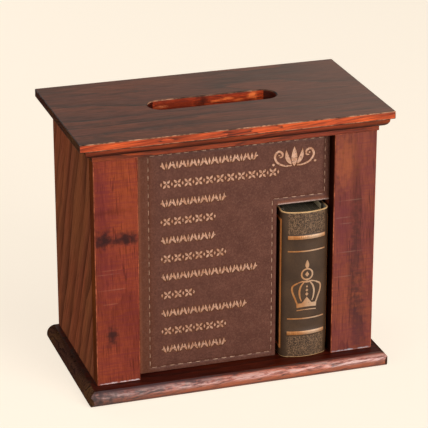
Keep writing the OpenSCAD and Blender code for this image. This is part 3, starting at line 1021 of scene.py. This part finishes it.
def board_cuts(inner, end_grain_shade):
    """The faces of the boards that look unlike the rest, as pairs of a test and a material. The top's front
    faces get painted light, and the base's level face, the stiles' left faces and the left ends of the top
    and cornice painted shade.
    """
    slot_marks = [((x, SLOT_BACK, z), (wide, 20.0, tall), strength, colour)
                  for x, z, wide, tall, strength, colour in SLOT_MARKS]
    slot_end = stained_wood("wood_slot_end", "x", (0, 14, 60), ring=3.0, tint=(0.4, 0.3, 0.3))
    slot_back = stained_wood("wood_slot", "x", (0, 14, 60), (0, 3, 2), ring=3.0, contrast=0.9, lines=0.9,
                             purple=0.1, tint=(2.7, 1.8, 1.2), marks=slot_marks)
    # Painted light: a much brighter copy of the top's wood, for the front faces that look toward the lamps.
    top_edge_lit = stained_wood("wood_top_edge", "x", (0, 10, 120), (0, 3, 1), ring=2.4, contrast=0.9, lines=0.8,
                            purple=0.2, tint=(2.75, 2.35, 1.75), gloss=0.2)
    # Painted shade: a much darker copy of the base's wood, for its level face.
    base_flat_shade = stained_wood("wood_base_flat", "x", (0, 20, -50), (0, 2, 1), ring=5.0,
                             tint=(0.32, 0.22, 0.22), gloss=0.1, shade_marks=BASE_FLAT_LEFT_SHADE)
    base_under = stained_wood("wood_base_under", "x", (0, 30, -60), (0, 2, 3), ring=7.0, contrast=0.8,
                              lines=0.8, tint=(1.4, 1.6, 1.6), gloss=0.1)
    # Painted shade: a darker copy of the stile's wood, for its left face, which looks away from the lamps.
    stile_side_shade = stained_wood("wood_stile_edge", "z", (-90, 10, 0), ring=3.0, tint=(0.6, 0.85, 0.85),
                              gloss=0.0)
    slot = ((is_slot_wall, slot_end), (is_slot_back, slot_back))
    return {
        "top_board": ((is_front, top_edge_lit), (is_left, end_grain_shade), *slot),
        "cornice_board": ((is_left, end_grain_shade), *slot),
        "base_board": ((is_end, end_grain_shade), (is_level, base_flat_shade), (is_underside, base_under)),
        "left_stile": ((is_left, stile_side_shade),),
        "right_stile": ((is_left, inner),),
    }


def wooden_case():
    """Every board of the case, its dowels and screws, and the stopper in its base."""
    # Painted shade: nearly black wood for the niche's walls and the right stile's face beside the book.
    inner = stained_wood("wood_niche", "z", (10, 40, 0), (4, 3, 0), tint=(0.14, 0.14, 0.14), gloss=0.03)
    # Dark end grain, which also paints shade: on the left ends of the top and cornice, which look away from
    # the lamps, and on the cornice's eased arrises.
    end_grain_shade = stained_wood("wood_end_grain", "x", (0, 20, -50), ring=2.0, lines=0.9, tint=(0.38, 0.95, 1.5),
                             gloss=0.0)
    stile_arris = rubbed_and_lit_arris("wood_stile_arris", tone(112, 48, 34), tone(216, 118, 80), 0.9)
    top_arris = rubbed_and_lit_arris("wood_top_arris", tone(34, 22, 19), WOOD_WEAR_AND_GLINT, 1.0)
    # Eased arrises: wear and painted highlight on the top and stiles, painted shade on the cornice.
    edge_look = {"top_board": top_arris, "left_stile": stile_arris, "right_stile": stile_arris,
            "cornice_board": end_grain_shade}
    cuts = board_cuts(inner, end_grain_shade)
    for node, material in board_woods().items():
        dressed(node, "case", material, cuts.get(node, ()), edge_look.get(node))
    for node in ("niche_left_wall", "niche_right_wall", "niche_back_wall", "niche_ceiling"):
        dressed(node, "case", inner)
    dowel = stained_wood("wood_dowel", "z", (3, 5, 0), contrast=0.3, tint=(1.3, 1.6, 1.6), gloss=0.1)
    dressed("top_dowels", "case", dowel)
    dressed("base_screws", "case", brass())
    dressed("stopper", "plug", rubber())


# Leather facing


class Facing:
    """Where the leather facing lies: its outline, its seam and its front surface."""

    def __init__(self):
        self.low, self.high = box_mm("front_leather")
        self.notch_x = box_mm("niche_left_wall")[1].x
        self.notch_z = box_mm("niche_ceiling")[0].z
        left, right = self.low.x + STITCH_INSET_LEFT, self.high.x - STITCH_INSET
        low, top = self.low.z + STITCH_INSET, self.high.z - STITCH_INSET_TOP
        inner_x, inner_z = self.notch_x - NOTCH_STITCH_SIDE, self.notch_z + NOTCH_STITCH_TOP
        corners = [(left, low), (inner_x, low), (inner_x, inner_z), (right, inner_z), (right, top),
                   (left, top)]
        self.seam = list(zip(corners, corners[1:] + corners[:1]))

    def edge_distance(self, x, z):
        """How far a point lies from the facing's rounded edges.

        The left edge isn't rounded, and the one over the notch less than the rest.
        """
        outer = min(self.high.x - x, z - self.low.z, self.high.z - z)
        beside, above = max(0.0, self.notch_x - x), max(0.0, z - self.notch_z)
        return max(0.0, min(outer, math.hypot(beside, NOTCH_SQUARE * above)))

    def rawness(self, x, z):
        """How raw the leather is: 1 over the notch, where its cut edge shows, and less at its left edge."""
        left = RAW_LEFT_SHARE * (1 - (x - self.low.x) / RAW_LEFT)
        over = 1 - (z - self.notch_z) / RAW_OVER_NOTCH if x > self.notch_x else 0.0
        return max(0.0, left, over)

    def seam_distance(self, x, z):
        """How far a point lies from the line of stitching."""
        def beyond(v, a, b):
            return v - min(max(v, min(a, b)), max(a, b))
        return min(math.hypot(beyond(x, x0, x1), beyond(z, z0, z1)) for (x0, z0), (x1, z1) in self.seam)

    def front(self, x, z):
        """The y of the leather's front surface."""
        depth = FACING_WAVE * (1 + noise.noise(Vector((x * FACING_WAVE_SCALE, z * FACING_WAVE_SCALE, 1.7))))
        depth += GROOVE_DEPTH * math.exp(-((self.seam_distance(x, z) / GROOVE_HALF) ** 2) * GROOVE_FALL)
        away = self.edge_distance(x, z)
        if away < FACING_EDGE:
            depth += FACING_EDGE - math.sqrt(FACING_EDGE ** 2 - (FACING_EDGE - away) ** 2)
        return self.low.y + depth

    def place(self, x, z, lift):
        """A point lift millimetres in front of the leather."""
        return Vector((x, self.front(x, z) - lift, z))


def facing_grid(low, high, notch, toward, seams):
    """Lines across the facing, closer together at its edges, at the notch and in the seam's groove."""
    edge_steps = [FACING_EDGE * share for share in (0.12, 0.38, 0.7, 1.0)]
    extra = [notch] + [notch + toward * step for step in edge_steps]
    extra += [low + step for step in edge_steps] + [high - step for step in edge_steps]
    extra += [seam + step for seam in seams for step in (-1.0, -0.65, -0.3, 0.0, 0.3, 0.65, 1.0)]
    return lines(low, high, FACING_GRID, extra)


def leather_sheet(facing):
    """The facing itself: a closed sheet with skived edges and a groove under its stitching."""
    low, high = facing.low, facing.high
    seams_x, seams_z = ({round(start[k], 3) for start, _ in facing.seam} for k in (0, 1))
    columns = facing_grid(low.x, high.x, facing.notch_x, -1, seams_x)
    rows = facing_grid(low.z, high.z, facing.notch_z, 1, seams_z)
    shape = Shape()
    points, edge = {}, []

    def corner(i, k, back):
        if (i, k, back) not in points:
            x, z = columns[i], rows[k]
            points[i, k, back] = shape.point((x, high.y if back else facing.front(x, z), z))
            edge.append(facing.rawness(x, z))
        return points[i, k, back]

    def inside(i, k):
        x, z = (columns[i] + columns[i + 1]) / 2, (rows[k] + rows[k + 1]) / 2
        return not (x > facing.notch_x and z < facing.notch_z)

    cells = {(i, k) for i in range(len(columns) - 1) for k in range(len(rows) - 1) if inside(i, k)}
    for i, k in sorted(cells):
        around = [(i, k), (i + 1, k), (i + 1, k + 1), (i, k + 1)]
        shape.face([corner(a, b, False) for a, b in around])
        shape.face([corner(a, b, True) for a, b in reversed(around)])
        beside = ((i, k - 1), (i + 1, k), (i, k + 1), (i - 1, k))
        for cell, one, two in zip(beside, around, around[1:] + around[:1]):
            if cell not in cells:
                shape.face([corner(*one, False), corner(*one, True), corner(*two, True), corner(*two, False)])
    sheet = shape.piece("leather_facing", "case", [facing_leather()])
    sheet.data.attributes.new("edge", "FLOAT", "POINT").data.foreach_set("value", edge)
    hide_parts("front_leather")


def leather_stitches(facing):
    """Saddle stitches of two-ply thread, round the facing's margin."""
    shape = Shape()
    out = Vector((0, -1, 0))
    shares = [k / (STITCH_POINTS - 1) for k in range(STITCH_POINTS)]
    arches = [math.sin(math.pi * t) ** 0.6 for t in shares]
    radii = [PLY_R * (0.6 + 0.4 * arch) for arch in arches]
    for start, stop in facing.seam:
        run = Vector((stop[0] - start[0], 0, stop[1] - start[1]))
        along = run.normalized()
        across = along.cross(out)
        stitches = round(run.length / STITCH_PITCH)
        pitch = run.length / stitches
        for n in range(stitches):
            for ply in (0.0, math.pi):
                centres = []
                for t, arch in zip(shares, arches):
                    middle = (n + 0.5 + (t - 0.5) * STITCH_SHARE) * pitch
                    turn = ply + PLY_TWIST * t + n
                    lay = PLY_R * PLY_LAY * (math.cos(turn) * across + math.sin(turn) * PLY_FLAT * out)
                    on = facing.place(start[0] + along.x * middle, start[1] + along.z * middle,
                                      STITCH_ARCH * arch - STITCH_SINK)
                    centres.append(on + lay * (0.4 + 0.6 * arch))
                add_tube(shape, centres, radii, PLY_SIDES, across, out)
    shape.piece("leather_stitching", "case", [thread()])


def ornament_unit(x, z, leafy):
    """One unit of a tooled row: a bud between two leaves, or a rosette of four petals."""
    wide, high = UNIT_W / 2, UNIT_H / 2
    yield lozenge(x, z, 0.42 * wide, 1.9 * high) if leafy else disc(x, z, 0.4)
    for side in (-1, 1):
        if leafy:
            base, tip = (x + 0.3 * wide * side, z - high), (x + 0.78 * wide * side, z + high)
            yield leaf(base, tip, LEAF_W, -0.4 * side)
            continue
        for up in (-1, 1):
            base, tip = (x + 0.35 * side, z + 0.35 * up), (x + 0.62 * wide * side, z + high * up)
            yield leaf(base, tip, LEAF_W)


def tooled_row(x, z, units, leafy):
    """A row of units, with dots or small lozenges between them."""
    for k in range(units):
        yield from ornament_unit(x + (k + 0.5) * UNIT_W, z, leafy)
    for k in range(units + 1):
        between = x + k * UNIT_W
        yield disc(between, z, 0.42) if leafy else lozenge(between, z, 0.95, 2.2)


def headpiece(x, z):
    """A larger fleuron: a bud between leaves and scrolls."""
    yield leaf((x, z - 5.2), (x, z + 5.6), 3.2)
    side_leaf = leaf((x + 1.6, z - 4.2), (x + 4.6, z + 4.2), 2.2, -0.8)
    scroll = stroke([(x + 1.4, z - 4.8), (x + 5.2, z - 4.6), (x + 9.2, z - 2.6), (x + 10.8, z + 0.8),
                     (x + 9.2, z + 3.6), (x + 6.8, z + 2.8), (x + 6.7, z + 0.7), (x + 8.2, z + 0.3)], 1.2)
    for rows in (side_leaf, scroll, disc(x + 11.6, z - 3.4, 0.7), disc(x + 8.4, z + 1.6, 0.5)):
        yield rows
        yield mirrored(rows, x)


def leather_gilding(facing):
    """Rows of gilt ornament on the facing, with a headpiece at the end of the first.

    The hot tools have burnished the leather round the gold, a little lower than the gold itself. The
    burnished rim is set a little down, so that it is also a painted shadow under the gold.
    """
    foil, pressed_shadow = Shape(), Shape()
    ornament = list(headpiece(HEADPIECE_X, HEADPIECE_Z))
    for k, units in enumerate(ROW_UNITS):
        ornament += tooled_row(ROW_LEFT, ROW_TOP - k * ROW_PITCH, units, k % 2 == 0)
    for rows in ornament:
        add_foil(foil, rows, facing.place)
        lower = [[(u, v - SHADOW_DROP) for u, v in row] for row in rows]
        add_foil(pressed_shadow, widened(lower, PRESSED_RIM), facing.place, PRESSED_LIFT)
    gold = gold_foil("facing_gilding", tone(92, 60, 50), 0.34, FACING_GOLD)
    foil.piece("leather_gilding", "case", [gold], smooth=False)
    pressed_shadow.piece("leather_pressed_ground", "case", [burnished_and_shadow_leather()], smooth=False)


# Book


class Cover:
    """The book's leather cover, as an outline seen from above and a height."""

    def __init__(self):
        self.low, self.high = box_mm("book_cover")
        self.x = (self.low.x + self.high.x) / 2
        self.half = (self.high.x - self.low.x) / 2
        self.turn = math.asin((self.half - SHOULDER_R) / (SPINE_R - SHOULDER_R))
        self.spine_run = SPINE_R * self.turn
        self.spine_y = self.low.y + SPINE_R
        self.shoulder_y = self.spine_y - (SPINE_R - SHOULDER_R) * math.cos(self.turn)
        self.joint = self.spine_run + SHOULDER_R * (math.pi / 2 - self.turn)
        self.length = self.joint + self.high.y - self.shoulder_y

    def outline(self, run, inset):
        """The point run millimetres round from the spine's middle, inset from the surface, and its normal."""
        side = -1 if run < 0 else 1
        run = abs(run)
        if run < self.spine_run:
            angle, centre, radius = run / SPINE_R, (0.0, self.spine_y), SPINE_R
        else:
            angle = min(math.pi / 2, self.turn + (run - self.spine_run) / SHOULDER_R)
            straight = max(0.0, run - self.joint)
            centre, radius = (self.half - SHOULDER_R, self.shoulder_y + straight), SHOULDER_R
        normal = Vector((side * math.sin(angle), -math.cos(angle), 0))
        x = self.x + side * (centre[0] + (radius - inset) * math.sin(angle))
        return Vector((x, centre[1] - (radius - inset) * math.cos(angle), 0)), normal

    def pebble(self, run, z):
        """How strongly the surface is pebbled: 1 in the panels at the head and tail of the spine."""
        beyond = max(z - BANDS_Z[0], BANDS_Z[1] - z) - PEBBLE_GAP
        return min(1.0, max(0.0, min(PANEL_HALF - abs(run), beyond) / PEBBLE_RIM))

    def relief(self, run, z):
        """How far the surface stands out: raised bands, pebbled ends and a groove at each joint."""
        end = min(1.0, max(0.0, (TOOLED_HALF + TOOLED_END - abs(run)) / TOOLED_END))
        bands = [max(0.0, 1 - ((z - band) / (BAND_HALF + BAND_FOOT)) ** 2) for band in BANDS_Z]
        pebbles = self.pebble(run, z) * noise.noise(Vector((run * PEBBLE_SCALE, z * PEBBLE_SCALE, 5.3)))
        groove = (abs(run) - self.joint - JOINT_AWAY) / JOINT_HALF
        return BAND_RISE * end * sum(bands) + PEBBLE_RISE * pebbles - JOINT_DEPTH * math.exp(-groove * groove)

    def place(self, run, z, lift):
        """A point lift millimetres out from the cover's surface."""
        point, normal = self.outline(run, 0.0)
        out = point + normal * (lift + self.relief(run, z))
        return Vector((out.x, out.y, z))


def cover_profile(low, high):
    """The cover's cross-section from its tail to its head and back inside.

    Each point has a height, an inset and a part: 0 for the leather, 1 for its raw edge and 2 for its lining.
    """
    rim = COVER_T / 2
    upper, lower = BANDS_Z[0] + BAND_CLEAR, BANDS_Z[1] - BAND_CLEAR
    middle = lines(lower, upper, COVER_STEP, [band + step for band in BANDS_Z for step in BAND_RIDGE])
    rises = lines(low + rim, lower, SPINE_STEP) + middle[1:-1] + lines(upper, high - rim, SPINE_STEP)
    turn = [math.pi * k / 6 for k in range(1, 6)]
    profile = [(z, 0.0, 0) for z in rises]
    profile += [(high - rim + rim * math.sin(a), rim - rim * math.cos(a), 1) for a in turn]
    profile += [(high - rim, COVER_T, 1), (low + rim, COVER_T, 2)]
    return profile + [(low + rim - rim * math.sin(a), rim + rim * math.cos(a), 1) for a in turn]


def book_shell(cover):
    """The leather cover: a bent sheet with rounded, raw edges at its head and tail."""
    profile = cover_profile(cover.low.z, cover.high.z)
    strip = cover.joint + JOINT_STRIP
    half = [*lines(0.0, cover.joint, SPINE_STEP), *lines(cover.joint, strip, JOINT_STEP)[1:],
            *lines(strip, cover.length, COVER_STEP)[1:]]
    shape = Shape()
    pebble, rings = [], []
    for run in [-run for run in reversed(half[1:])] + half:
        ring_points = []
        for z, inset, _ in profile:
            point, normal = cover.outline(run, inset)
            place = point + normal * (cover.relief(run, z) if inset < COVER_T / 2 else 0.0)
            ring_points.append(shape.point((place.x, place.y, z)))
            pebble.append(cover.pebble(run, z) if inset == 0.0 else 0.0)
        rings.append(ring_points)
    parts = [part for _, _, part in profile]
    slots = [2 if pair == (1, 2) else min(1, max(pair)) for pair in zip(parts, parts[1:] + parts[:1])]
    add_skin(shape, rings, slots)
    shell = shape.piece("book_leather_cover", "book", [book_leather(), raw_edge_lit(), lining_cloth()])
    shell.data.attributes.new("pebble", "FLOAT", "POINT").data.foreach_set("value", pebble)
    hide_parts("book_cover")


def crown():
    """A royal crown with an orb, a common ornament on such spines. Run is across and z is up."""
    base_low, base_half = 36.9, 5.5
    spans = [base_half * (k / 10 - 1) for k in range(21)]
    yield [[(u, base_low - 0.5 * (u / base_half) ** 2 + 0.4),
            (u * 1.04, base_low + 2.5 + max(0.0, 3.6 * (1 - abs(u) / 2.6)))] for u in spans]
    yield [[(u, base_low - rise - 0.4 * (u / base_half) ** 2) for rise in (1.5, 1.0)] for u in spans]
    yield stroke([(-5.2, 51.2), (-2.8, 52.0), (0.0, 51.7), (2.8, 52.0), (5.2, 51.2)], 0.9)
    outer = stroke([(5.4, 39.4), (6.6, 42.6), (8.0, 46.4), (7.8, 49.4), (5.2, 51.2)], 1.0, 0.8)
    inner = stroke([(3.0, 40.6), (3.9, 43.4), (4.1, 46.6), (3.2, 49.6), (1.6, 51.6)], 1.0, 0.5)
    for rows in (outer, inner):
        yield rows
        yield mirrored(rows, 0.0)
    for z, size in ((44.6, 1.7), (46.9, 1.4), (49.0, 1.1)):
        yield lozenge(0.0, z, size, size * 1.2)
    yield ring(0.0, 56.1, 3.1, 0.85, 271.0, 358.0)
    yield lozenge(0.0, 56.1, 2.2, 3.0)
    yield lozenge(0.0, 52.9, 1.5, 1.7)
    yield leaf((0.0, 59.3), (0.0, 64.2), 2.0)


def book_gilding(cover):
    """Gilt bands, lines and a crown on the spine."""
    shape = Shape()

    def ribbed(run, z, lift):
        return cover.place(run, z, lift + RIB_RISE * math.cos(2 * math.pi * run / RIB_PITCH))

    for band in BANDS_Z:
        heights = [band + BAND_HALF * k / 3 for k in range(-3, 4)]
        ribs = lines(-TOOLED_HALF, TOOLED_HALF, RIB_PITCH / 4)
        add_foil(shape, [[(run, z) for z in heights] for run in ribs], ribbed)
    for z in FILLETS_Z:
        runs = lines(-TOOLED_HALF, TOOLED_HALF, FILLET_STEP)
        add_foil(shape, [[(run, z - FILLET_HALF), (run, z + FILLET_HALF)] for run in runs], cover.place)
    for rows in crown():
        add_foil(shape, rows, cover.place)
    # The spine's gold gets a painted highlight across its right part.
    gold = gold_foil("spine_gilding", tone(62, 48, 30), 0.28, SPINE_GOLD, 0.45, (0.56, 0.44),
                     (cover.x - 6, cover.x + 5, cover.x + 11))
    gilding = shape.piece("book_gilding", "book", [gold])
    gilding.data.set_sharp_from_angle(angle=FOIL_BEND)


def cover_frames(cover):
    """A gilt frame on each cover."""
    shape = Shape()
    near, far = cover.joint - FRAME_NEAR, cover.length - FRAME_INSET
    foot, head = cover.low.z + FRAME_INSET, cover.high.z - FRAME_INSET
    upright = lines(foot, head, FRAME_STEP[1])
    level = lines(near + FRAME_W + MITRE_GAP, far - MITRE_GAP, FRAME_STEP[0])
    for side in (-1, 1):
        for run in (near, far):
            add_foil(shape, [[(side * run, z), (side * (run + FRAME_W), z)] for z in upright], cover.place)
        for z in (foot, head - FRAME_W):
            add_foil(shape, [[(side * run, z), (side * run, z + FRAME_W)] for run in level], cover.place)
    gold = gold_foil("cover_gilding", tone(120, 70, 34), 0.26, COVER_GOLD, metallic=0.1)
    frames = shape.piece("book_cover_frames", "book", [gold])
    frames.data.set_sharp_from_angle(angle=FOIL_BEND)


def book_block():
    """The pages, as gatherings of leaves whose edges don't quite line up."""
    low, high = box_mm("book_pages")
    thickness = (high.x - low.x) / LEAF_COUNT
    shape = Shape()
    for k in range(LEAF_COUNT):
        uneven = [LEAF_UNEVEN * (1 + noise.noise(Vector((k * 0.73, row * 9.1, 2.2)))) for row in range(3)]
        add_block(shape, (low.x + k * thickness, low.y, low.z + uneven[0]),
                  (low.x + (k + LEAF_SHARE) * thickness, high.y - uneven[1], high.z - uneven[2]))
    block = shape.piece("book_leaves", "book", [paper()], smooth=False)
    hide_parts("book_pages")


def book_headbands():
    """Silk worked over a round core, at the head and tail of the pages' back."""
    low, high = box_mm("book_headbands")
    radius = (high.y - low.y) / 2
    count = 4 * HEADBAND_WRAPS
    start, run = low.x + HEADBAND_INSET, high.x - low.x - 2 * HEADBAND_INSET
    places = [start + run * k / count for k in range(count + 1)]
    radii = [radius * (0.9 + 0.1 * math.sin(math.pi * (k % 4) / 4)) for k in range(count + 1)]
    shape = Shape()
    for z in (high.z - radius, low.z + radius):
        centres = [Vector((x, (low.y + high.y) / 2, z)) for x in places]
        add_tube(shape, centres, radii, HEADBAND_SIDES, Vector((0, 1, 0)), Vector((0, 0, 1)))
    bands = shape.piece("book_silk_headbands", "book", [headband_silk()])
    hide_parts("book_headbands")


def bound_book():
    """The whole book, which slides out of its niche."""
    cover = Cover()
    book_shell(cover)
    book_gilding(cover)
    cover_frames(cover)
    book_block()
    book_headbands()
    board = board_cover()
    for node in ("book_left_board", "book_right_board"):
        dressed(node, "book", board)
    dressed("book_spine_lining", "book", lining_cloth())


# Stage


def floor():
    """A plain pale floor that is open from below, so that the underside can be seen."""
    s = Shader("floor")
    s.set(Base_Color=FLOOR_COLOUR, Roughness=0.9, Specular_IOR_Level=0.0)
    path = s.node("LightPath").outputs
    seen = s.math("MAXIMUM", path["Is Camera Ray"], path["Is Transmission Ray"])
    seen = s.math("MAXIMUM", seen, s.times(path["Is Glossy Ray"], FLOOR_MIRRORED))
    glow = s.node("Emission", Color=BACKDROP, Strength=s.times(seen, FLOOR_GLOW))
    lit, clear = s.node("AddShader"), s.node("BsdfTransparent")
    sided = s.node("MixShader", Fac=s.node("NewGeometry").outputs["Backfacing"])
    surface = s.tree.nodes["Material Output"].inputs["Surface"]
    for source, socket in ((s.bsdf, lit.inputs[0]), (glow, lit.inputs[1]), (lit, sided.inputs[1]),
                           (clear, sided.inputs[2]), (sided, surface)):
        s.feed(socket, source.outputs[0])
    mesh = bpy.data.meshes.new("floor")
    around = ((-1, -1), (1, -1), (1, 1), (-1, 1))
    mesh.from_pydata([(x * FLOOR_REACH, y * FLOOR_REACH, FLOOR_LEVEL) for x, y in around], [], [(0, 1, 2, 3)])
    mesh.materials.append(s.material)
    plane = linked("floor", mesh)


def world():
    """Dim light from all round, which the camera and mirrors see as a pale backdrop."""
    made = bpy.data.worlds.new("studio")
    made.use_nodes = True
    s = Nodes(made.node_tree)
    path = s.node("LightPath").outputs
    strength = WORLD_STRENGTH
    for kind, share in (("Glossy", WORLD_MIRRORED), ("Camera", WORLD_SEEN), ("Transmission", WORLD_SEEN)):
        strength = s.math("ADD", strength, s.times(path[f"Is {kind} Ray"], share - WORLD_STRENGTH))
    background = s.tree.nodes["Background"].inputs
    s.feed(background["Color"], BACKDROP)
    s.feed(background["Strength"], strength)
    bpy.context.scene.world = made


def aimed(name, data, place, aim):
    """A light or camera at a place, in metres, that looks toward its aim."""
    made = linked(name, data)
    made.location = place
    made.rotation_euler = (aim - place).to_track_quat("-Z", "Y").to_euler()
    return made


def softbox(name, azimuth, elevation, size, power):
    """A soft light, aimed at the middle of the box. Azimuth 0 is in front of it, 90 at its right."""
    a, e = math.radians(azimuth), math.radians(elevation)
    toward = Vector((math.sin(a) * math.cos(e), -math.cos(a) * math.cos(e), math.sin(e)))
    data = bpy.data.lights.new(name, "AREA")
    data.shape = "RECTANGLE"
    data.size, data.size_y = size
    data.energy = power
    aimed(name, data, LIGHT_AIM + toward * LIGHT_DISTANCE, LIGHT_AIM)


def camera():
    """The camera, where the photograph was taken from."""
    data = bpy.data.cameras.new("photo_camera")
    data.lens = CAMERA_LENS
    data.sensor_width = CAMERA_SENSOR
    place, aim = Vector(CAMERA_PLACE) * MM, Vector(CAMERA_AIM) * MM
    bpy.context.scene.camera = aimed("photo_camera", data, place, aim)


def studio():
    """The camera, floor, backdrop and lights."""
    bpy.context.scene.view_settings.view_transform = "Standard"
    camera()
    floor()
    world()
    for light in SOFTBOXES:
        softbox(*light)


wooden_case()
leather = Facing()
leather_sheet(leather)
leather_stitches(leather)
leather_gilding(leather)
bound_book()
studio()
